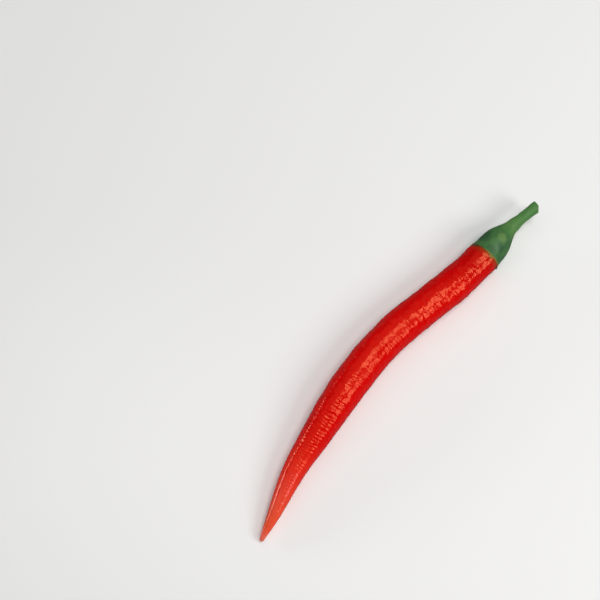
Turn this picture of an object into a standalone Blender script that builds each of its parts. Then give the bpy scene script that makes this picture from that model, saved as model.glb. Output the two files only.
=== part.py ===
"""A long red chilli, as picked, lying on its side: a tapering pod, the green calyx on it, and the cut stem.

Each piece is turned about a straight X axis, with the pod's tip at X = 0, and is then bent along one spine.
The finished chilli has its tip at -X, its stem at +X and its bow towards +Y. Z is up, and the origin is
under the middle of its box, on the surface that it lies on.
"""

import math

import bmesh
import bpy

# Pod: a cone that rounds into a straight body, then a shoulder and the crown that the calyx hides
POD_LENGTH = 0.1448  # tip to calyx rim, along the spine
POD_DIAMETER = 0.01415
TIP_DIAMETER = 0.0014
TAPER_LENGTH = 0.0750
TAPER_POWER = 0.96  # 0.5 is a round nose, and 1 a parabola
WAIST_DEPTH = 0.0004  # how much slimmer the cone is at its waist, in radius
WAIST_PLACE = 0.0360
WAIST_LENGTH = 0.0180
SHOULDER_LENGTH = 0.0190
SHOULDER_INSET = 0.00068  # how much the radius shrinks from the body to the calyx
CURL_LENGTH = 0.0025  # how far before the rim the crown starts to turn in
CROWN_LENGTH = 0.0045  # rim to the very top
REST_DEPTH = 0.0003  # how deep the flat spot under the pod is pressed in

# Calyx: a bell that clasps the crown and narrows to the stem
CALYX_LENGTH = 0.0164
CALYX_WALL = 0.0004  # at the rim
CALYX_FULLNESS = 1.8  # the higher, the further the bell stays wide
RIM_FLARE = 0.0005
RIM_FLARE_LENGTH = 0.0032
NECK_DIAMETER = 0.0055
TOOTH_COUNT = 5
TOOTH_LENGTH = 0.0009
TOOTH_SHARPNESS = 6
TOOTH_FADE = 0.0040  # how far behind the rim a tooth still shifts the bell

# Stem
STEM_LENGTH = 0.0130
STEM_DIAMETER = 0.0043
STEM_WAIST = 0.0045  # how far the stem takes to narrow from the neck
STEM_END_DIAMETER = 0.0047
STEM_SWELLING = 0.0050  # how far before the cut the stem starts to thicken
STEM_RIDGES = 5
RIDGE_HEIGHT = 0.0001
CUT_SLANT = 12  # degrees

FIT_GAP = 0.0003  # between pieces that touch

# How the chilli bends in plan: headings in degrees at shares of its length, with an arc between each two
BENDS = (
    (0.000, 13.5),
    (0.035, 12.5),
    (0.075, 16.0),
    (0.130, 15.5),
    (0.220, 6.5),
    (0.300, 8.0),
    (0.380, 4.5),
    (0.460, 1.0),
    (0.600, -11.5),
    (0.710, -12.0),
    (0.860, 0.0),
    (0.900, -6.0),
    (0.940, -10.5),
    (1.000, -13.5),
)
TIP_LIFT = 0.0016  # height of the tip's underside
TIP_LIFT_LENGTH = 0.0450
STEM_LIFT = 0.0018  # how much higher the cut is than the body

POD_RINGS = 56
POD_SIDES = 32
CALYX_RINGS = 14
CROWN_RINGS = 8
CALYX_SIDES = 40
STEM_RINGS = 8
STEM_SIDES = 30
SPINE_STEPS = 120

WHOLE_LENGTH = POD_LENGTH + CALYX_LENGTH + STEM_LENGTH
NECK_END = POD_LENGTH + CALYX_LENGTH
POD_END = POD_LENGTH + CROWN_LENGTH


def ease(share):
    """0 to 1, level at both ends."""
    share = min(max(share, 0), 1)
    return share * share * (3 - 2 * share)


def nose(share, power):
    """1 up to share 0, and down to 0 at share 1."""
    share = min(max(share, 0), 1)
    return (1 - share * share) ** power


def body_radius(distance):
    """Radius of the cone and the body, without the ball at the tip and without a shoulder."""
    tip = TIP_DIAMETER / 2
    waist = WAIST_DEPTH * math.exp(-(((distance - WAIST_PLACE) / WAIST_LENGTH) ** 2))
    return tip + (POD_DIAMETER / 2 - tip) * nose(1 - distance / TAPER_LENGTH, TAPER_POWER) - waist


def pod_radius(distance):
    shoulder_start = POD_LENGTH - SHOULDER_LENGTH
    inset = SHOULDER_INSET * ease((distance - shoulder_start) / SHOULDER_LENGTH)
    tip = nose(1 - distance / (TIP_DIAMETER / 2), 0.5)
    crown = nose((distance - POD_LENGTH + CURL_LENGTH) / (CURL_LENGTH + CROWN_LENGTH), 0.5)
    return (body_radius(distance) - inset) * tip * crown


def bell_radius(distance):
    """Outside of the calyx, at a distance from the pod's tip."""
    neck = NECK_DIAMETER / 2
    rim = pod_radius(POD_LENGTH) + FIT_GAP + CALYX_WALL
    behind_rim = max(distance - POD_LENGTH, 0)
    fullness = (1 + math.cos(math.pi * (behind_rim / CALYX_LENGTH) ** CALYX_FULLNESS)) / 2
    flare = RIM_FLARE * max(1 - behind_rim / RIM_FLARE_LENGTH, 0) ** 2
    return neck + (rim - RIM_FLARE - neck) * fullness + flare


def stem_radius(distance):
    middle = STEM_DIAMETER / 2
    waist = (NECK_DIAMETER / 2 - middle) * (1 - ease((distance - NECK_END) / STEM_WAIST))
    swelling = (STEM_END_DIAMETER / 2 - middle) * ease(1 - (WHOLE_LENGTH - distance) / STEM_SWELLING)
    return middle + waist + swelling


def spaced(start, end, count):
    """Distances from start to end that lie closer together towards both ends."""
    return [start + (end - start) * (1 - math.cos(math.pi * i / count)) / 2 for i in range(count + 1)]


def pod_outline():
    return [(distance, pod_radius(distance)) for distance in spaced(0, POD_END, POD_RINGS)]


def calyx_outline():
    """The cup that holds the pod's crown, then the rim, then the bell, and the neck's flat end."""
    crown = spaced(POD_LENGTH, POD_END, CROWN_RINGS)
    cup = [(distance + FIT_GAP, pod_radius(distance) + FIT_GAP) for distance in crown]
    rim = [(POD_LENGTH, pod_radius(POD_LENGTH) + FIT_GAP)]
    bell = [(distance, bell_radius(distance)) for distance in spaced(POD_LENGTH, NECK_END, CALYX_RINGS)]
    return [(POD_END + FIT_GAP, 0)] + cup[::-1] + rim + bell + [(NECK_END, 0)]


def stem_outline():
    start = NECK_END + FIT_GAP
    side = [(distance, stem_radius(distance)) for distance in spaced(start, WHOLE_LENGTH, STEM_RINGS)]
    return [(start, 0)] + side + [(WHOLE_LENGTH, 0)]


def toothed(distance, radius, angle):
    """Draws the rim out into teeth that lie along the pod's shoulder."""
    tooth = ((1 + math.cos(TOOTH_COUNT * angle)) / 2) ** TOOTH_SHARPNESS
    moved = distance - TOOTH_LENGTH * tooth * (1 - ease((distance - POD_LENGTH) / TOOTH_FADE))
    if distance > POD_LENGTH + TOOTH_FADE:
        return distance, radius
    return moved, radius + pod_radius(moved) - pod_radius(distance)


def ridged(distance, radius, angle):
    """Raises the stem's ridges, and slants its cut end."""
    ridge = RIDGE_HEIGHT * math.cos(STEM_RIDGES * angle) * ease((distance - NECK_END) / STEM_WAIST)
    slant = radius * math.sin(angle) * math.tan(math.radians(CUT_SLANT))
    slant *= ease(1 - (WHOLE_LENGTH - distance) / STEM_SWELLING)
    return distance - slant, radius + (ridge if radius else 0)


def spine_heading(share):
    """Heading in plan, in radians."""
    for (start, before), (end, after) in zip(BENDS, BENDS[1:]):
        if share <= end:
            return math.radians(before + (after - before) * (share - start) / (end - start))
    return math.radians(BENDS[-1][1])


def spine_height(distance):
    tip = TIP_LIFT * (1 - ease(distance / TIP_LIFT_LENGTH))
    stem = STEM_LIFT * ease((distance - POD_LENGTH) / (WHOLE_LENGTH - POD_LENGTH))
    return body_radius(distance) - REST_DEPTH + tip + stem


def spine_points():
    """Points along the middle of the chilli, as far apart as its length in steps."""
    step = WHOLE_LENGTH / SPINE_STEPS
    points = [(0, 0, spine_height(0))]
    for i in range(SPINE_STEPS):
        x, y, z = points[-1]
        heading = spine_heading((i + 0.5) / SPINE_STEPS)
        rise = spine_height((i + 1) * step) - z
        along = math.sqrt(step * step - rise * rise)
        points.append((x + along * math.cos(heading), y + along * math.sin(heading), z + rise))
    return points


def add_material(name, color, roughness):
    material = bpy.data.materials.new(name)
    material.use_nodes = True
    shader = material.node_tree.nodes["Principled BSDF"]
    shader.inputs["Base Color"].default_value = (*color, 1)
    shader.inputs["Roughness"].default_value = roughness
    shader.inputs["Metallic"].default_value = 0
    return material


def add_guide(name, data, collection, parent):
    """An object that shapes the pieces and isn't one itself."""
    guide = bpy.data.objects.new(name, data)
    guide.hide_render = True
    guide.display_type = "WIRE"
    guide.parent = parent
    collection.objects.link(guide)
    return guide


def add_spine(collection, parent):
    curve = bpy.data.curves.new("spine", "CURVE")
    curve.dimensions = "3D"
    curve.twist_mode = "Z_UP"
    points = spine_points()
    spline = curve.splines.new("POLY")
    spline.points.add(len(points) - 1)
    for point, place in zip(spline.points, points):
        point.co = (*place, 1)
    return add_guide("spine", curve, collection, parent)


def add_surface(collection, parent):
    """The block under Z = 0 that presses the flat spot into the pod."""
    mesh = bpy.data.meshes.new("surface")
    block = bmesh.new()
    bmesh.ops.create_cube(block, size=2 * WHOLE_LENGTH)
    bmesh.ops.translate(block, verts=block.verts, vec=(WHOLE_LENGTH / 2, 0, -WHOLE_LENGTH))
    block.to_mesh(mesh)
    block.free()
    return add_guide("surface", mesh, collection, parent)


def turned(name, outline, sides):
    """A mesh turned about X, from an outline of (distance, radius) that starts and ends on the axis."""
    profile = bpy.data.meshes.new(name)
    edges = [(i, i + 1) for i in range(len(outline) - 1)]
    profile.from_pydata([(distance, 0, radius) for distance, radius in outline], edges, [])
    lathe = bpy.data.objects.new(name + "_profile", profile)
    bpy.context.scene.collection.objects.link(lathe)
    screw = lathe.modifiers.new("turn", "SCREW")
    screw.axis = "X"
    screw.steps = sides
    screw.render_steps = sides
    screw.use_merge_vertices = True
    screw.merge_threshold = 1e-6
    graph = bpy.context.evaluated_depsgraph_get()
    mesh = bpy.data.meshes.new_from_object(lathe.evaluated_get(graph))
    bpy.data.objects.remove(lathe)
    bpy.data.meshes.remove(profile)
    return mesh


def shape(mesh, rule):
    """Moves each vertex to the distance and radius that the rule gives for its own, and closes the ends."""
    for vertex in mesh.vertices:
        distance, y, z = vertex.co
        angle = math.atan2(z, y)
        distance, radius = rule(distance, math.hypot(y, z), angle)
        vertex.co = (distance, radius * math.cos(angle), radius * math.sin(angle))
    body = bmesh.new()
    body.from_mesh(mesh)
    bmesh.ops.remove_doubles(body, verts=body.verts, dist=1e-6)
    bmesh.ops.recalc_face_normals(body, faces=body.faces)
    body.to_mesh(mesh)
    body.free()


def add_piece(name, mesh, material, collection, spine):
    """A piece made straight, which the spine bends."""
    mesh.name = name
    mesh.materials.clear()
    mesh.materials.append(material)
    mesh.shade_smooth()
    mesh.set_sharp_from_angle(angle=math.radians(50))
    piece = bpy.data.objects.new(name, mesh)
    piece.parent = spine.parent
    collection.objects.link(piece)
    bend = piece.modifiers.new("bend", "CURVE")
    bend.object = spine
    bend.deform_axis = "POS_X"
    return piece


def press_flat(piece, surface):
    press = piece.modifiers.new("flat spot", "BOOLEAN")
    press.operation = "DIFFERENCE"
    press.object = surface


def centre(root, pieces):
    """Moves the root so that the origin is under the middle of the pieces' box."""
    bpy.context.view_layer.update()
    graph = bpy.context.evaluated_depsgraph_get()
    corners = []
    for piece in pieces:
        bent = piece.evaluated_get(graph)
        corners += [bent.matrix_world @ vertex.co for vertex in bent.data.vertices]
    for axis in (0, 1):
        places = [corner[axis] for corner in corners]
        root.location[axis] = -(min(places) + max(places)) / 2


def build():
    for leftover in list(bpy.data.objects):
        bpy.data.objects.remove(leftover)
    chilli = bpy.data.collections.new("chilli")
    guides = bpy.data.collections.new("guides")
    bpy.context.scene.collection.children.link(chilli)
    bpy.context.scene.collection.children.link(guides)
    root = bpy.data.objects.new("chilli_root", None)
    chilli.objects.link(root)
    spine = add_spine(guides, root)
    red = add_material("red skin", (0.60, 0.008, 0.006), 0.25)
    leaf_green = add_material("calyx green", (0.045, 0.125, 0.035), 0.45)
    stalk_green = add_material("stem green", (0.08, 0.20, 0.055), 0.5)

    pod = add_piece("pod", turned("pod", pod_outline(), POD_SIDES), red, chilli, spine)
    press_flat(pod, add_surface(guides, root))

    bell = turned("calyx", calyx_outline(), CALYX_SIDES)
    shape(bell, toothed)
    calyx = add_piece("calyx", bell, leaf_green, chilli, spine)

    stalk = turned("stem", stem_outline(), STEM_SIDES)
    shape(stalk, ridged)
    stem = add_piece("stem", stalk, stalk_green, chilli, spine)
    centre(root, (pod, calyx, stem))


build()
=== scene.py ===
# A long red chilli, freshly picked, lying on its side on a pale table.
# The pod, the calyx and the stem are turned shapes that share one bent spine.
import math

import bpy
from mathutils import Matrix, Vector


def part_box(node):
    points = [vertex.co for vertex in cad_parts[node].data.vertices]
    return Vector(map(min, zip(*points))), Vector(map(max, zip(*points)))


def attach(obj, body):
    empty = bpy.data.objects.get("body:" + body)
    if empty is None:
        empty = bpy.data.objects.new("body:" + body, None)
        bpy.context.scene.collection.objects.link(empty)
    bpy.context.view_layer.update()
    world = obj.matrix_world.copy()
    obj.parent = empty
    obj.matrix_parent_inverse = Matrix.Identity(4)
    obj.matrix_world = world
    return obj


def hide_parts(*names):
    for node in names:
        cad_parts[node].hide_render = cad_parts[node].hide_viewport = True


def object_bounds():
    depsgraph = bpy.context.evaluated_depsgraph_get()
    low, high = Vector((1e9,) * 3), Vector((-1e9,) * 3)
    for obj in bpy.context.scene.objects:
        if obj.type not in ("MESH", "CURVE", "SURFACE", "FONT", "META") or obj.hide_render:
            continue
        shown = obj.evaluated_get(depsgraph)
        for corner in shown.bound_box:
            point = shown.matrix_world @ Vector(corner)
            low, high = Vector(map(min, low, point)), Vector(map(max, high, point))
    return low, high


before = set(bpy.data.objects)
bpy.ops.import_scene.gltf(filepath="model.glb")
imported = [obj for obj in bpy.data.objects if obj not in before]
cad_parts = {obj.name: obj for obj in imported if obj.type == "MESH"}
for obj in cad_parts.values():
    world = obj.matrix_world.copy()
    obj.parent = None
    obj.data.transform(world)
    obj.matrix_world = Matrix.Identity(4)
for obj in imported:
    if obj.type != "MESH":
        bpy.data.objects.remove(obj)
cadLow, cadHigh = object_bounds()
print("frame loaded:", ", ".join(sorted(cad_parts)))


# Node helpers

class Field:
    # one output of a node, which can be used in plain arithmetic
    def __init__(self, tree, socket):
        self.tree = tree
        self.socket = socket

    def op(self, operation, *others):
        return mathNode(self.tree, operation, self, *others)

    def __add__(self, other):
        return self.op("ADD", other)

    def __sub__(self, other):
        return self.op("SUBTRACT", other)

    def __rsub__(self, other):
        return mathNode(self.tree, "SUBTRACT", other, self)

    def __mul__(self, other):
        return self.op("MULTIPLY", other)

    def __truediv__(self, other):
        return self.op("DIVIDE", other)

    def __rtruediv__(self, other):
        return mathNode(self.tree, "DIVIDE", other, self)

    def __pow__(self, other):
        return self.op("POWER", other)


def plug(tree, value, socket):
    if isinstance(value, Field):
        tree.links.new(value.socket, socket)
    elif isinstance(value, bpy.types.NodeSocket):
        tree.links.new(value, socket)
    else:
        socket.default_value = value


def addNode(tree, kind, inputs=None, **settings):
    made = tree.nodes.new(kind)
    for name, value in settings.items():
        setattr(made, name, value)
    for name, value in (inputs or {}).items():
        plug(tree, value, made.inputs[name])
    return made


def mathNode(tree, operation, *values):
    made = tree.nodes.new("ShaderNodeMath")
    made.operation = operation
    for slot, value in zip(made.inputs, values):
        plug(tree, value, slot)
    return Field(tree, made.outputs[0])


def vectorNode(tree, operation, *values):
    made = tree.nodes.new("ShaderNodeVectorMath")
    made.operation = operation
    slots = [made.inputs[0], made.inputs["Scale"]] if operation == "SCALE" else made.inputs
    for slot, value in zip(slots, values):
        plug(tree, value, slot)
    return Field(tree, made.outputs[0])


def joinXYZ(tree, x, y, z):
    return Field(tree, addNode(tree, "ShaderNodeCombineXYZ", {"X": x, "Y": y, "Z": z}).outputs[0])


def splitXYZ(tree, vector):
    made = addNode(tree, "ShaderNodeSeparateXYZ", {"Vector": vector})
    return [Field(tree, made.outputs[i]) for i in range(3)]


def noiseField(tree, vector, seed, detail=2.0, roughness=0.5):
    # 0 to 1, about one swell for each unit of the vector
    made = addNode(tree, "ShaderNodeTexNoise", noise_dimensions="4D")
    inputs = {"Vector": vector, "W": seed, "Scale": 1.0, "Detail": detail, "Roughness": roughness}
    for name, value in inputs.items():
        plug(tree, value, made.inputs[name])
    return Field(tree, made.outputs[0])


def rampField(tree, value, low, high, toLow=0.0, toHigh=1.0):
    # toLow below low, toHigh above high, and an eased change between them
    made = addNode(tree, "ShaderNodeMapRange", interpolation_type="SMOOTHSTEP")
    inputs = {"Value": value, "From Min": low, "From Max": high, "To Min": toLow, "To Max": toHigh}
    for name, number in inputs.items():
        plug(tree, number, made.inputs[name])
    return Field(tree, made.outputs[0])


# The spine and the outlines, in metres from the tip

chilli = dict(
    podLength=0.1448,
    calyxLength=0.0164,
    stemLength=0.0130,
    bodyDiameter=0.01415,
    tipDiameter=0.0014,
    taperLength=0.0750,
    taperPower=0.96,
    waistDepth=0.0004,  # a slight waist a quarter of the way along
    waistPlace=0.0360,
    waistLength=0.0180,
    shoulderLength=0.0120,
    shoulderStart=0.1260,
    shoulderInset=0.00042,
    shoulderSwell=0.00010,
    swellBefore=0.010,  # how far ahead of the rim the shoulder starts to swell
    swellLength=0.007,
    curlLength=0.0018,
    crownLength=0.0045,
    restDepth=0.0003,
    tipLift=0.0016,
    tipLiftLength=0.0450,
    stemLift=0.0018,
    restBlend=0.0004,  # how softly the skin turns into its flat spot
    spineSteps=240,
    spineLead=0.004,  # the spine runs on this far past both ends
    bends=(  # share of the length, heading in degrees
        (0.000, 13.5),
        (0.035, 12.5),
        (0.075, 16.0),
        (0.130, 15.5),
        (0.220, 6.5),
        (0.300, 8.0),
        (0.380, 4.5),
        (0.460, 1.0),
        (0.600, -11.5),
        (0.710, -12.0),
        (0.860, 0.0),
        (0.900, -6.0),
        (0.940, -10.5),
        (1.000, -13.5),
    ),
)
neckEnd = chilli["podLength"] + chilli["calyxLength"]
wholeLength = neckEnd + chilli["stemLength"]


def ease(share):
    share = min(max(share, 0), 1)
    return share * share * (3 - 2 * share)


def nose(share, power):
    share = min(max(share, 0), 1)
    return (1 - share * share) ** power


def bodyRadius(distance):
    tip = chilli["tipDiameter"] / 2
    taper = nose(1 - distance / chilli["taperLength"], chilli["taperPower"])
    fromWaist = (distance - chilli["waistPlace"]) / chilli["waistLength"]
    waist = chilli["waistDepth"] * math.exp(-fromWaist * fromWaist)
    return tip + (chilli["bodyDiameter"] / 2 - tip) * taper - waist


def podRadius(distance):
    length = chilli["podLength"]
    curl = chilli["curlLength"]
    inset = chilli["shoulderInset"] * ease((distance - chilli["shoulderStart"]) / chilli["shoulderLength"])
    swollen = (distance - length + chilli["swellBefore"]) / chilli["swellLength"]
    swell = chilli["shoulderSwell"] * ease(swollen)
    tip = nose(1 - distance / (chilli["tipDiameter"] / 2), 0.5)
    crown = nose((distance - length + curl) / (curl + chilli["crownLength"]), 0.5)
    return (bodyRadius(distance) - inset + swell) * tip * crown


def spineHeading(share):
    bends = chilli["bends"]
    for (start, before), (end, after) in zip(bends, bends[1:]):
        if share <= end:
            return math.radians(before + (after - before) * max(share - start, 0) / (end - start))
    return math.radians(bends[-1][1])


def spineHeight(distance):
    tip = chilli["tipLift"] * (1 - ease(distance / chilli["tipLiftLength"]))
    stem = chilli["stemLift"] * ease((distance - chilli["podLength"]) / (wholeLength - chilli["podLength"]))
    return bodyRadius(distance) - chilli["restDepth"] + tip + stem


def spinePoints():
    # even steps along the spine, from one lead before the tip to one lead past the cut
    lead = chilli["spineLead"]
    steps = chilli["spineSteps"]
    step = (wholeLength + 2 * lead) / steps
    points = [(0.0, 0.0, spineHeight(-lead))]
    for i in range(steps):
        x, y, z = points[-1]
        heading = spineHeading(((i + 0.5) * step - lead) / wholeLength)
        rise = spineHeight((i + 1) * step - lead) - z
        run = math.sqrt(step * step - rise * rise)
        points.append((x + run * math.cos(heading), y + run * math.sin(heading), z + rise))
    return points


def polyCurve(name, points):
    curve = bpy.data.curves.new(name, "CURVE")
    curve.dimensions = "3D"
    spline = curve.splines.new("POLY")
    spline.points.add(len(points) - 1)
    for point, place in zip(spline.points, points):
        point.co = (*place, 1)
    made = bpy.data.objects.new(name, curve)
    bpy.context.scene.collection.objects.link(made)
    return made


def spaced(start, end, count):
    # even steps, without the last one
    return [start + (end - start) * i / count for i in range(count)]


def rounded(start, end, count):
    # steps that close up towards both ends
    return [start + (end - start) * (1 - math.cos(math.pi * i / count)) / 2 for i in range(count + 1)]


def placeSpine(points):
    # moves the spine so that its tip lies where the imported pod's does, and it bows as far sideways
    podLow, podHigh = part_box("pod")
    lead = chilli["spineLead"]
    step = (wholeLength + 2 * lead) / chilli["spineSteps"]
    tip = points[round(lead / step)]
    top = max(y + bodyRadius(i * step - lead) for i, (x, y, z) in enumerate(points) if i * step > lead)
    shift = (podLow.x - tip[0], podHigh.y - top)
    return [(x + shift[0], y + shift[1], z) for x, y, z in points]


spineObject = polyCurve("spineGuide", placeSpine(spinePoints()))
print("spine drawn:", round(wholeLength * 1000, 1), "mm")


# Geometry Nodes: how each piece grows

weldDistance = 0.000001
sharpAngle = 55  # degrees: edges steeper than this stay sharp


def turnedTree(name, sizes, relief):
    # turns an outline about the spine; each outline point holds distance, radius and share of relief
    tree = bpy.data.node_groups.new(name, "GeometryNodeTree")
    tree.is_modifier = True
    face = tree.interface
    kinds = {"Outline": "Object", "Spine": "Object", "Material": "Material", "Sides": "Int"}
    for label, kind in kinds.items():
        face.new_socket(label, in_out="INPUT", socket_type="NodeSocket" + kind)
    for label in sizes:
        face.new_socket(label, in_out="INPUT", socket_type="NodeSocketFloat")
    face.new_socket("Geometry", in_out="OUTPUT", socket_type="NodeSocketGeometry")
    given = tree.nodes.new("NodeGroupInput").outputs
    size = {label: Field(tree, given[label]) for label in sizes}
    position = tree.nodes.new("GeometryNodeInputPosition").outputs[0]

    # one row of the grid for each point of the outline
    outline = addNode(tree, "GeometryNodeObjectInfo", {"Object": given["Outline"]}).outputs["Geometry"]
    counted = addNode(tree, "GeometryNodeAttributeDomainSize", {"Geometry": outline}, component="CURVE")
    rows = Field(tree, counted.outputs["Point Count"])
    sides = Field(tree, given["Sides"]) + 1
    grid = addNode(tree, "GeometryNodeMeshGrid", {"Vertices X": rows, "Vertices Y": sides})
    across, around, _ = splitXYZ(tree, position)
    row = ((across + 0.5) * (rows - 1)).op("ROUND")
    point = addNode(tree, "GeometryNodeSampleIndex", {"Geometry": outline},
                    data_type="FLOAT_VECTOR", domain="POINT")
    plug(tree, position, point.inputs["Value"])
    plug(tree, row, point.inputs["Index"])
    distance, radius, share = splitXYZ(tree, Field(tree, point.outputs[0]))
    angle = (around + 0.5) * (2 * math.pi)
    distance, radius = relief(tree, distance, radius, share, angle, size)

    # the unbent place is kept for the materials to read
    sideways = radius * angle.op("COSINE")
    upwards = radius * angle.op("SINE")
    skin = joinXYZ(tree, distance, sideways, upwards)
    marked = addNode(tree, "GeometryNodeStoreNamedAttribute",
                     {"Geometry": grid.outputs["Mesh"], "Name": "skin"},
                     data_type="FLOAT_VECTOR", domain="POINT")
    plug(tree, skin, marked.inputs["Value"])

    # bent along the spine, and flattened where it rests
    spine = addNode(tree, "GeometryNodeObjectInfo", {"Object": given["Spine"]}).outputs["Geometry"]
    there = addNode(tree, "GeometryNodeSampleCurve", {"Curves": spine}, mode="LENGTH")
    plug(tree, distance + chilli["spineLead"], there.inputs["Length"])
    tangent = Field(tree, there.outputs["Tangent"])
    side = vectorNode(tree, "NORMALIZE", vectorNode(tree, "CROSS_PRODUCT", (0, 0, 1), tangent))
    up = vectorNode(tree, "CROSS_PRODUCT", tangent, side)
    bent = vectorNode(tree, "ADD", there.outputs["Position"], vectorNode(tree, "SCALE", side, sideways))
    bent = vectorNode(tree, "ADD", bent, vectorNode(tree, "SCALE", up, upwards))
    x, y, z = splitXYZ(tree, bent)
    resting = joinXYZ(tree, x, y, z.op("SMOOTH_MAX", 0.0, chilli["restBlend"]))
    placed = addNode(tree, "GeometryNodeSetPosition", {"Geometry": marked.outputs[0], "Position": resting})
    closed = addNode(tree, "GeometryNodeMergeByDistance",
                     {"Geometry": placed.outputs[0], "Distance": weldDistance})
    smooth = addNode(tree, "GeometryNodeSetShadeSmooth", {"Geometry": closed.outputs[0]})
    real = addNode(tree, "GeometryNodeRealizeInstances", {"Geometry": smooth.outputs[0]})
    painted = addNode(tree, "GeometryNodeSetMaterial",
                      {"Geometry": real.outputs[0], "Material": given["Material"]})
    output = tree.nodes.new("NodeGroupOutput")
    tree.links.new(painted.outputs[0], output.inputs[0])
    return tree


def growPiece(name, tree, outline, sides, material, sizes):
    # evaluates the tree once, and keeps its result as a plain mesh
    guide = polyCurve(name + "Outline", outline)
    grower = bpy.data.objects.new(name + "Grower", bpy.data.meshes.new(name + "Grower"))
    bpy.context.scene.collection.objects.link(grower)
    modifier = grower.modifiers.new("grow", "NODES")
    modifier.node_group = tree
    values = {"Outline": guide, "Spine": spineObject, "Material": material, "Sides": sides, **sizes}
    for socket in tree.interface.items_tree:
        if socket.in_out == "INPUT":
            modifier[socket.identifier] = values[socket.name]
    graph = bpy.context.evaluated_depsgraph_get()
    mesh = bpy.data.meshes.new_from_object(grower.evaluated_get(graph))
    mesh.name = name
    bpy.data.objects.remove(grower)
    bpy.data.objects.remove(guide)
    mesh.set_sharp_from_angle(angle=math.radians(sharpAngle))
    piece = bpy.data.objects.new(name, mesh)
    bpy.context.scene.collection.objects.link(piece)
    print(name, "grown:", len(mesh.vertices), "points")
    return piece


# Materials, which read the unbent place: x along from the tip, y and z across, in metres

def newMaterial(name):
    material = bpy.data.materials.new(name)
    material.use_nodes = True
    tree = material.node_tree
    shader = tree.nodes["Principled BSDF"]
    skin = addNode(tree, "ShaderNodeAttribute", attribute_name="skin", attribute_type="GEOMETRY")
    return material, tree, shader, Field(tree, skin.outputs["Vector"])


def stretched(tree, vector, along, across):
    # a vector for noise whose swells are this long and this wide, in metres
    return vectorNode(tree, "MULTIPLY", vector, (1 / along, 1 / across, 1 / across))


def setEach(shader, values):
    for name, value in values.items():
        shader.inputs[name].default_value = value


def mixColor(tree, share, first, second):
    made = addNode(tree, "ShaderNodeMix", data_type="RGBA")
    plug(tree, share, made.inputs["Factor"])
    plug(tree, first, made.inputs[6])
    plug(tree, second, made.inputs[7])
    return Field(tree, made.outputs[2])


podPaint = dict(
    point=(0.82, 0.155, 0.105, 1),
    tip=(0.83, 0.085, 0.034, 1),
    young=(0.78, 0.022, 0.010, 1),
    body=(0.66, 0.0012, 0.0016, 1),
    deep=(0.50, 0.0008, 0.0012, 1),
    shoulder=(0.34, 0.034, 0.006, 1),
    speck=(0.72, 0.05, 0.02, 1),
    gleam=(1.0, 0.34, 0.16, 1),
    tipGleam=(1.0, 0.62, 0.58, 1),
    roughness=(0.14, 0.22),
    tipZone=(0.0, 0.006),  # where each colour takes over, in metres from the tip
    youngZone=(0.006, 0.030),
    bodyZone=(0.024, 0.048),
    gleamZone=(0.018, 0.036),
    deepBefore=(0.022, 0.006),  # and ahead of the rim
    shoulderBefore=(0.0036, 0.0004),
    flesh={
        "Subsurface Weight": 0.10,
        "Subsurface Radius": (1.0, 0.15, 0.08),
        "Subsurface Scale": 0.0015,
        "Specular IOR Level": 0.45,
    },
)


def podMaterial():
    material, tree, shader, skin = newMaterial("waxyRedSkin")
    along, _, _ = splitXYZ(tree, skin)
    color = mixColor(tree, rampField(tree, along, *podPaint["tipZone"]), podPaint["point"], podPaint["tip"])
    color = mixColor(tree, rampField(tree, along, *podPaint["youngZone"]), color, podPaint["young"])
    color = mixColor(tree, rampField(tree, along, *podPaint["bodyZone"]), color, podPaint["body"])
    patches = noiseField(tree, stretched(tree, skin, 0.016, 0.006), 3.0)
    color = mixColor(tree, rampField(tree, patches, 0.50, 0.80, 0, 0.40), color, podPaint["deep"])
    streaks = noiseField(tree, stretched(tree, skin, 0.020, 0.0007), 8.0)
    color = mixColor(tree, rampField(tree, streaks, 0.55, 0.80, 0, 0.15), color, podPaint["young"])
    start, end = [chilli["podLength"] - before for before in podPaint["deepBefore"]]
    color = mixColor(tree, rampField(tree, along, start, end, 0, 0.6), color, podPaint["deep"])
    start, end = [chilli["podLength"] - before for before in podPaint["shoulderBefore"]]
    shoulder = rampField(tree, along, start, end)
    color = mixColor(tree, shoulder, color, podPaint["shoulder"])
    specks = noiseField(tree, stretched(tree, skin, 0.0005, 0.0005), 21.0)
    color = mixColor(tree, rampField(tree, specks, 0.66, 0.78, 0, 0.25), color, podPaint["speck"])
    plug(tree, color, shader.inputs["Base Color"])
    gloss = noiseField(tree, stretched(tree, skin, 0.007, 0.004), 5.0)
    plug(tree, rampField(tree, gloss, 0.3, 0.7, *podPaint["roughness"]), shader.inputs["Roughness"])
    pores = noiseField(tree, stretched(tree, skin, 0.00035, 0.0008), 13.0, 3.0)
    bump = addNode(tree, "ShaderNodeBump", {"Height": pores, "Strength": 0.12, "Distance": 0.0002})
    plug(tree, bump.outputs[0], shader.inputs["Normal"])
    setEach(shader, podPaint["flesh"])
    glinting = rampField(tree, along, *podPaint["gleamZone"])
    gleam = mixColor(tree, glinting, podPaint["tipGleam"], podPaint["gleam"])
    plug(tree, gleam, shader.inputs["Specular Tint"])
    return material


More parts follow.
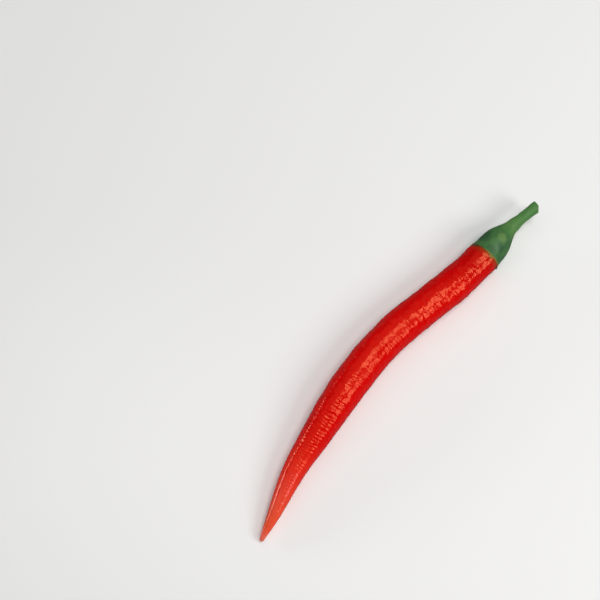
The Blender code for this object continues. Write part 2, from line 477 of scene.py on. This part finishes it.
greenPaint = dict(
    calyx=(0.060, 0.176, 0.046, 1),
    dark=(0.024, 0.088, 0.032, 1),
    pale=(0.130, 0.250, 0.072, 1),
    neck=(0.100, 0.240, 0.056, 1),
    stem=(0.074, 0.212, 0.050, 1),
    rim=(0.24, 0.16, 0.030, 1),
    # painted shade: the darker brown that the rim line takes on its left side
    shadedRim=(0.085, 0.062, 0.018, 1),
    toothTip=(0.022, 0.018, 0.012, 1),
    cut=(0.24, 0.33, 0.15, 1),
    bruise=(0.10, 0.080, 0.030, 1),
    roughness=(0.36, 0.50),
    patches=(  # colour, place behind the rim, sideways and up, and reach, in metres
        # the first dark patch, on the upper left, is partly the calyx's own tone and partly painted shade
        ("dark", (0.0049, 0.0054, 0.0040), 0.0046),
        ("pale", (0.0086, -0.0010, 0.0046), 0.0030),
        ("dark", (0.0046, -0.0040, 0.0050), 0.0024),
    ),
    patchRagged=0.0022,  # how far a patch's edge wanders
    patchCore=0.45,  # the share of its reach that is full colour
    neckLength=0.006,
    stemBlend=0.004,
    cutDepth=(0.0014, 0.0010),
    bruiseReach=(0.00220, 0.00196),
    cutReach=(0.00178, 0.00158),
    leaf={
        "Specular IOR Level": 0.28,
        "Sheen Weight": 0.06,
        "Sheen Tint": (0.75, 0.95, 1.0, 1),
        "Sheen Roughness": 0.4,
    },
)


def greenMaterial():
    # the calyx is darker on its left, partly with painted shade, and paler on its right; the rim is painted
    # darker on its left side, which is painted shade
    material, tree, shader, skin = newMaterial("leafGreen")
    along, side, up = splitXYZ(tree, skin)
    behind = along - chilli["podLength"]
    cloud = noiseField(tree, stretched(tree, skin, 0.0050, 0.0040), 4.0, 1.0)
    clouded = rampField(tree, cloud, 0.30, 0.70, 0, 0.7)
    color = mixColor(tree, clouded, greenPaint["calyx"], greenPaint["dark"])
    ragged = noiseField(tree, stretched(tree, skin, 0.0016, 0.0014), 9.0, 2.0)
    ragged = ragged * greenPaint["patchRagged"] - greenPaint["patchRagged"] / 2
    # each patch mixes in its colour; the upper-left dark one is partly painted shade
    for paint, (back, sideways, upwards), reach in greenPaint["patches"]:
        middle = (chilli["podLength"] + back, sideways, upwards)
        away = addNode(tree, "ShaderNodeVectorMath", operation="DISTANCE")
        plug(tree, skin, away.inputs[0])
        plug(tree, middle, away.inputs[1])
        far = Field(tree, away.outputs["Value"]) + ragged
        patch = rampField(tree, far, reach, reach * greenPaint["patchCore"], 0, 0.85)
        color = mixColor(tree, patch, color, greenPaint[paint])
    neck = rampField(tree, along, neckEnd - greenPaint["neckLength"], neckEnd, 0, 0.8)
    color = mixColor(tree, neck, color, greenPaint["neck"])
    stalky = rampField(tree, along, neckEnd, neckEnd + greenPaint["stemBlend"])
    color = mixColor(tree, stalky, color, greenPaint["stem"])
    fibres = noiseField(tree, stretched(tree, skin, 0.010, 0.00040), 12.0)
    color = mixColor(tree, rampField(tree, fibres, 0.50, 0.78, 0, 0.22), color, greenPaint["pale"])
    stains = noiseField(tree, stretched(tree, skin, 0.0035, 0.0011), 44.0, 3.0)
    color = mixColor(tree, rampField(tree, stains, 0.52, 0.74, 0, 0.40), color, greenPaint["dark"])
    # the rim line goes from yellow-orange on the right to painted shade on the left
    rim = mixColor(tree, rampField(tree, side, 0.0022, -0.0010), greenPaint["shadedRim"], greenPaint["rim"])
    color = mixColor(tree, rampField(tree, behind, 0.0002, -0.0003, 0, 0.9), color, rim)
    tooth = rampField(tree, behind, -0.0007, -0.0010) * rampField(tree, side, -0.0050, -0.0058)
    color = mixColor(tree, tooth, color, greenPaint["toothTip"])

    # the cut end: a pale face with a browned edge
    reach = (side * side + up * up).op("SQRT")
    end = rampField(tree, along, *[wholeLength - depth for depth in greenPaint["cutDepth"]])
    browned = end * rampField(tree, reach, *greenPaint["bruiseReach"])
    color = mixColor(tree, browned, color, greenPaint["bruise"])
    bare = end * rampField(tree, reach, *greenPaint["cutReach"])
    color = mixColor(tree, bare, color, greenPaint["cut"])
    plug(tree, color, shader.inputs["Base Color"])
    gloss = noiseField(tree, stretched(tree, skin, 0.003, 0.002), 6.0)
    dull = rampField(tree, along, neckEnd - 0.004, neckEnd + 0.003, 0, 0.14)
    plug(tree, rampField(tree, gloss, 0.3, 0.7, *greenPaint["roughness"]) + dull, shader.inputs["Roughness"])
    grain = noiseField(tree, stretched(tree, skin, 0.0016, 0.0003), 17.0, 3.0)
    bump = addNode(tree, "ShaderNodeBump", {"Height": grain, "Strength": 0.2, "Distance": 0.0002})
    plug(tree, bump.outputs[0], shader.inputs["Normal"])
    setEach(shader, greenPaint["leaf"])
    return material


# Pod: a soft three-sided section, swells and dents, and fine wrinkles that lie across it

podShape = dict(
    tipRings=16,
    bodyRings=940,
    crownRings=18,
    sides=96,
    tipCap=0.002,  # the ends have closer rings, over these lengths
    crownCap=0.006,
    reliefStart=(0.0, 0.004),  # where each kind of relief grows or fades, from the tip
    broadStart=(0.020, 0.065),
    tipWrinkles=(0.018, 0.036),
    deeperDents=(0.085, 0.115),
    calmerComb=(0.092, 0.116),
)
podSizes = {
    "Lobe height": 0.00010,
    "Lobe turn": 14.0,  # radians for each metre
    "Swell height": 0.00055,
    "Swell length": 0.0080,
    "Dent height": 0.00046,
    "Dent length": 0.0027,
    "Wrinkle height": 0.00016,
    "Wrinkle pitch": 0.00062,
    "Wrinkle width": 0.0030,
    "Tip wrinkling": 0.55,  # wrinkles at the tip, against the body's
    "Comb height": 0.000036,
    "Comb pitch": 0.00135,
    "Comb drift": 0.0042,  # how soon neighbouring ripples fall out of step
    "Comb slip": 16.0,  # and by how many radians
    "Shoulder comb": 0.45,  # the ripples' share that is left by the shoulder
    "Shoulder dents": 1.6,
    "Patch length": 0.00625,  # wrinkled and calm patches take turns
    "Seed": 4.0,
}


def podOutline():
    end = chilli["podLength"] + chilli["crownLength"]
    bodyStart = podShape["tipCap"]
    bodyEnd = end - podShape["crownCap"]
    tip = rounded(0, bodyStart, podShape["tipRings"])[:-1]
    body = spaced(bodyStart, bodyEnd, podShape["bodyRings"])
    crown = rounded(bodyEnd, end, podShape["crownRings"])
    return [(distance, podRadius(distance), 1) for distance in tip + body + crown]


def podRelief(tree, distance, radius, share, angle, size):
    turned = angle + distance * size["Lobe turn"]
    lobes = (turned * 3.0).op("COSINE") * size["Lobe height"]
    across = joinXYZ(tree, 0, radius * angle.op("COSINE"), radius * angle.op("SINE"))
    place = vectorNode(tree, "ADD", joinXYZ(tree, distance, 0, 0), across)
    swollen = vectorNode(tree, "SCALE", place, 1 / size["Swell length"])
    swells = noiseField(tree, swollen, size["Seed"], 1.0)
    dented = vectorNode(tree, "SCALE", place, 1 / size["Dent length"])
    dents = noiseField(tree, dented, size["Seed"] + 2.0, 1.0)
    folded = vectorNode(tree, "SCALE", across, 1 / size["Wrinkle width"])
    folded = vectorNode(tree, "ADD", folded, joinXYZ(tree, distance / size["Wrinkle pitch"], 0, 0))
    wrinkles = noiseField(tree, folded, size["Seed"] + 9.0, 1.0)
    drifting = vectorNode(tree, "SCALE", place, 1 / size["Comb drift"])
    drift = noiseField(tree, drifting, size["Seed"] + 7.0, 1.0) * size["Comb slip"]
    comb = (distance / size["Comb pitch"] * (2 * math.pi) + drift).op("SINE")
    comb = comb * rampField(tree, distance, *podShape["calmerComb"], 1.0, size["Shoulder comb"])
    patched = vectorNode(tree, "SCALE", place, 1 / size["Patch length"])
    patches = noiseField(tree, patched, size["Seed"] + 5.0, 1.0)
    fine = (wrinkles - 0.5) * size["Wrinkle height"] + comb * size["Comb height"]
    fine = fine * rampField(tree, patches, 0.35, 0.60, 0.35, 1.15)
    fullness = radius / (chilli["bodyDiameter"] / 2)
    wrinkling = rampField(tree, distance, *podShape["tipWrinkles"], size["Tip wrinkling"], 1.0)
    fine = fine * fullness.op("SQRT") * wrinkling
    deeper = rampField(tree, distance, *podShape["deeperDents"], 1.0, size["Shoulder dents"])
    dents = (dents - 0.5) * size["Dent height"] * deeper
    broad = (swells - 0.5) * size["Swell height"] + dents
    broad = (broad + lobes) * fullness * rampField(tree, distance, *podShape["broadStart"], 0.3, 1.0)
    return distance, radius + (broad + fine) * rampField(tree, distance, *podShape["reliefStart"])


podTree = turnedTree("growPod", podSizes, podRelief)
pod = growPiece("podSkin", podTree, podOutline(), podShape["sides"], podMaterial(), podSizes)
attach(pod, "root")
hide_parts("pod")


# Calyx and stem share their ribs, so that one runs on into the other

greenSizes = {
    "Rib count": 5.0,
    "Rib turn": 3.23,  # where the first rib lies, in radians
    "Rib wander": 1.5,
    "Rib sharpness": 1.8,
    "Rib height": 0.00030,
    "Ridge height": 0.00012,
    "Ripple height": 0.00030,
    "Ripple length": 0.0042,
    "Seed": 2.0,
}


def greenRibs(tree, distance, radius, angle, size):
    # the change of radius, and where a rib's crest lies
    behind = distance - chilli["podLength"]
    around = joinXYZ(tree, 0, angle.op("COSINE"), angle.op("SINE"))
    wander = noiseField(tree, vectorNode(tree, "SCALE", around, 0.8), size["Seed"]) - 0.5
    turned = (angle - size["Rib turn"]) * size["Rib count"] + wander * size["Rib wander"]
    crest = ((turned.op("COSINE") + 1.0) / 2.0) ** size["Rib sharpness"]
    fade = rampField(tree, behind, 0.0, 0.0045, 0.15, 1.0)
    fade = fade * rampField(tree, behind, 0.008, chilli["calyxLength"], 1.0, 0.0)
    ribs = (crest - 0.4) * (size["Rib height"] * fade + size["Ridge height"] * (1.0 - fade))
    across = joinXYZ(tree, 0, radius * angle.op("COSINE"), radius * angle.op("SINE"))
    place = vectorNode(tree, "ADD", joinXYZ(tree, distance, 0, 0), across)
    rippled = vectorNode(tree, "SCALE", place, 1 / size["Ripple length"])
    ripple = noiseField(tree, rippled, size["Seed"] + 3.0, 1.0) - 0.5
    slim = radius / podRadius(chilli["podLength"])
    return ribs + ripple * size["Ripple height"] * slim, crest


# Calyx: a ribbed bell with small teeth along its rim

calyx = dict(
    wall=0.00032,
    fullness=1.8,
    flare=0.0005,
    flareLength=0.0032,
    neckDiameter=0.0055,
    fitGap=0.00004,
    cupRings=20,
    rimRings=9,
    bellRings=110,
    sides=140,
)
calyxSizes = {
    **greenSizes,
    "Tooth length": 0.0009,
    "Tooth lift": 0.00018,
}


def bellRadius(distance):
    neck = calyx["neckDiameter"] / 2
    rim = podRadius(chilli["podLength"]) + calyx["fitGap"] + calyx["wall"]
    behind = max(distance - chilli["podLength"], 0)
    fullness = (1 + math.cos(math.pi * min(behind / chilli["calyxLength"], 1) ** calyx["fullness"])) / 2
    flare = calyx["flare"] * max(1 - behind / calyx["flareLength"], 0) ** 2
    return neck + (rim - calyx["flare"] - neck) * fullness + flare


def calyxOutline():
    # from the middle of the cup, out around the rim, along the bell and back in at the neck
    rimAt = chilli["podLength"]
    gap = calyx["fitGap"]
    cup = rounded(rimAt, rimAt + chilli["crownLength"], calyx["cupRings"])
    inside = [(d + gap, podRadius(d) + gap, 0) for d in cup]
    edge = calyx["wall"] / 2
    middle = podRadius(rimAt) + gap + edge
    turn = [math.pi * i / calyx["rimRings"] for i in range(1, calyx["rimRings"])]
    rim = [(rimAt - edge * math.sin(a), middle - edge * math.cos(a), a / math.pi) for a in turn]
    bell = [(d, bellRadius(d), 1) for d in spaced(rimAt, neckEnd, calyx["bellRings"]) + [neckEnd]]
    neck = [(neckEnd, calyx["neckDiameter"] / 4, 0.5), (neckEnd, 0, 0)]
    return [(rimAt + chilli["crownLength"] + gap, 0, 0)] + inside[::-1] + rim + bell + neck


def calyxRelief(tree, distance, radius, share, angle, size):
    change, crest = greenRibs(tree, distance, radius, angle, size)
    behind = distance - chilli["podLength"]
    tooth = crest ** 3.0
    shift = (tooth + 0.45) * size["Tooth length"] * rampField(tree, behind, 0.0, 0.0035, 1.0, 0.0)
    lift = tooth * size["Tooth lift"] * rampField(tree, behind, 0.0, 0.0015, 1.0, 0.0)
    return distance - shift, radius + change * share + lift


leafGreen = greenMaterial()
calyxTree = turnedTree("growCalyx", calyxSizes, calyxRelief)
bell = growPiece("calyxBell", calyxTree, calyxOutline(), calyx["sides"], leafGreen, calyxSizes)
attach(bell, "root")
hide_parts("calyx")


# Stem: lightly ridged, a little thicker at its slanted cut

stem = dict(
    diameter=0.0043,
    waist=0.0045,
    endDiameter=0.0047,
    swelling=0.0050,
    edge=0.00035,
    bevelStart=0.0006,
    dish=0.00025,
    root=0.0004,  # how far it reaches into the calyx
    rings=90,
    cornerRings=5,
    sides=140,
)
stemSizes = {
    **greenSizes,
    "Cut slant": 0.10,
    "Cut bevel": 0.65,
    "Cut turn": 2.3,  # the side it leans to, in radians
}


def stemRadius(distance):
    middle = stem["diameter"] / 2
    waist = (calyx["neckDiameter"] / 2 - middle) * (1 - ease((distance - neckEnd) / stem["waist"]))
    swelling = (stem["endDiameter"] / 2 - middle) * ease(1 - (wholeLength - distance) / stem["swelling"])
    return middle + waist + swelling


def stemOutline():
    edge = stem["edge"]
    end = stem["endDiameter"] / 2
    neck = calyx["neckDiameter"] / 2
    root = [(neckEnd - stem["root"], 0, 0), (neckEnd - stem["root"], neck * 0.85, 0.8)]
    sideEnd = wholeLength - edge
    side = [(d, stemRadius(d), 1) for d in spaced(neckEnd, sideEnd, stem["rings"]) + [sideEnd]]
    turn = [math.pi / 2 * (i + 1) / stem["cornerRings"] for i in range(stem["cornerRings"])]
    corner = [(sideEnd + edge * math.sin(a), end - edge + edge * math.cos(a), 1) for a in turn]
    inward = (0.9, 0.8, 0.7, 0.55, 0.4, 0.2, 0)
    face = [(wholeLength - stem["dish"] * (1 - s * s), (end - edge) * s, s) for s in inward]
    return root + side + corner + face


def stemRelief(tree, distance, radius, share, angle, size):
    change, _ = greenRibs(tree, distance, radius, angle, size)
    slant = radius * (angle - size["Cut turn"]).op("COSINE") * size["Cut slant"]
    bevel = (radius * angle.op("COSINE") * -1.0 - stem["bevelStart"]).op("MAXIMUM", 0.0) * size["Cut bevel"]
    slant = (slant + bevel) * rampField(tree, distance, wholeLength - stem["swelling"], wholeLength)
    return distance - slant, radius + change * share


stemTree = turnedTree("growStem", stemSizes, stemRelief)
stalk = growPiece("stemStalk", stemTree, stemOutline(), stem["sides"], leafGreen, stemSizes)
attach(stalk, "root")
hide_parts("stem")
bpy.data.objects.remove(spineObject)


# Table, light and camera

studio = dict(
    azimuth=-50.25,
    elevation=74.0,
    distance=0.55,
    fieldWidth=0.2358,  # metres across the view, at the chilli
    leftOfChilli=0.0337,  # how far the view's middle lies from the chilli's
    aboveChilli=0.0220,
    sensorWidth=36,
    tableSize=6.0,
    tableColor=(0.90, 0.90, 0.895, 1),
    tableClouds=(0.885, 0.885, 0.88, 1),
    cloudScale=6.0,
    tableRoughness=0.75,
    mirroredTable=(0.12, 0.12, 0.12, 1),  # what shiny skin sees of the table
    roomColor=(0.9, 0.95, 1.0, 1),
    roomGlow=0.08,
)
white = (1.0, 1.0, 1.0)
warm = (1.0, 0.99, 0.97)
tipPlace = (cadLow.x + 0.018, 0, 0.004)
softboxes = (  # name, middle, length and width, watts, colour; the last also has its target and spread
    ("ceilingBox", (0.10, 0.60, 1.90), (2.40, 2.40), 9.6, white),
    ("overheadBox", (0.24, -0.21, 1.15), (0.44, 0.54), 6.4, warm),
    ("sideBox", (0.24, -0.89, 0.74), (0.44, 0.58), 6.2, warm),
    ("edgeBox", (-0.34, 0.90, 0.17), (0.50, 0.08), 1.2, warm),
    ("tipBox", (-0.18, 0.27, 0.085), (0.11, 0.036), 0.0046, warm, tipPlace, 30),
)


def table():
    half = studio["tableSize"] / 2
    mesh = bpy.data.meshes.new("table")
    corners = [(-half, -half, 0), (half, -half, 0), (half, half, 0), (-half, half, 0)]
    mesh.from_pydata(corners, [], [(0, 1, 2, 3)])
    top = bpy.data.objects.new("table", mesh)
    bpy.context.scene.collection.objects.link(top)
    material = bpy.data.materials.new("paleTable")
    material.use_nodes = True
    tree = material.node_tree
    place = addNode(tree, "ShaderNodeTexCoord").outputs["Object"]
    cloud = noiseField(tree, vectorNode(tree, "SCALE", Field(tree, place), studio["cloudScale"]), 1.0)
    color = mixColor(tree, cloud, studio["tableColor"], studio["tableClouds"])
    ray = addNode(tree, "ShaderNodeLightPath")
    color = mixColor(tree, ray.outputs["Is Glossy Ray"], color, studio["mirroredTable"])
    shader = tree.nodes["Principled BSDF"]
    plug(tree, color, shader.inputs["Base Color"])
    shader.inputs["Roughness"].default_value = studio["tableRoughness"]
    mesh.materials.append(material)


def softbox(name, place, size, power, color, target=(0, 0, 0), spread=180):
    # faces its target; its size is along and across the chilli
    light = bpy.data.lights.new(name, "AREA")
    light.shape = "RECTANGLE"
    light.size, light.size_y = size
    light.energy = power
    light.color = color
    light.spread = math.radians(spread)
    lamp = bpy.data.objects.new(name, light)
    bpy.context.scene.collection.objects.link(lamp)
    toward = (Vector(target) - Vector(place)).normalized()
    side = Vector((1, 0, 0)) - toward * toward.x
    side.normalize()
    lamp.matrix_world = Matrix((side, (-toward).cross(side), -toward)).transposed().to_4x4()
    lamp.location = place


def camera():
    azimuth = math.radians(studio["azimuth"])
    elevation = math.radians(studio["elevation"])
    right = Vector((math.cos(azimuth), math.sin(azimuth), 0))
    away = Vector((-math.sin(azimuth), math.cos(azimuth), 0))
    aim = (cadLow + cadHigh) / 2 - right * studio["leftOfChilli"] + away * studio["aboveChilli"]
    back = Vector((0, 0, 1)) * math.sin(elevation) - away * math.cos(elevation)
    data = bpy.data.cameras.new("camera")
    data.sensor_width = studio["sensorWidth"]
    data.lens = studio["sensorWidth"] * studio["distance"] / studio["fieldWidth"]
    view = bpy.data.objects.new("camera", data)
    bpy.context.scene.collection.objects.link(view)
    view.location = aim + back * studio["distance"]
    view.rotation_euler = (-back).to_track_quat("-Z", "Y").to_euler()
    bpy.context.scene.camera = view


def room():
    world = bpy.data.worlds.new("room")
    world.use_nodes = True
    backdrop = world.node_tree.nodes["Background"]
    backdrop.inputs["Color"].default_value = studio["roomColor"]
    backdrop.inputs["Strength"].default_value = studio["roomGlow"]
    bpy.context.scene.world = world


table()
for box in softboxes:
    softbox(*box)
camera()
room()
bpy.context.scene.view_settings.view_transform = "Standard"
print("table, lights and camera set")
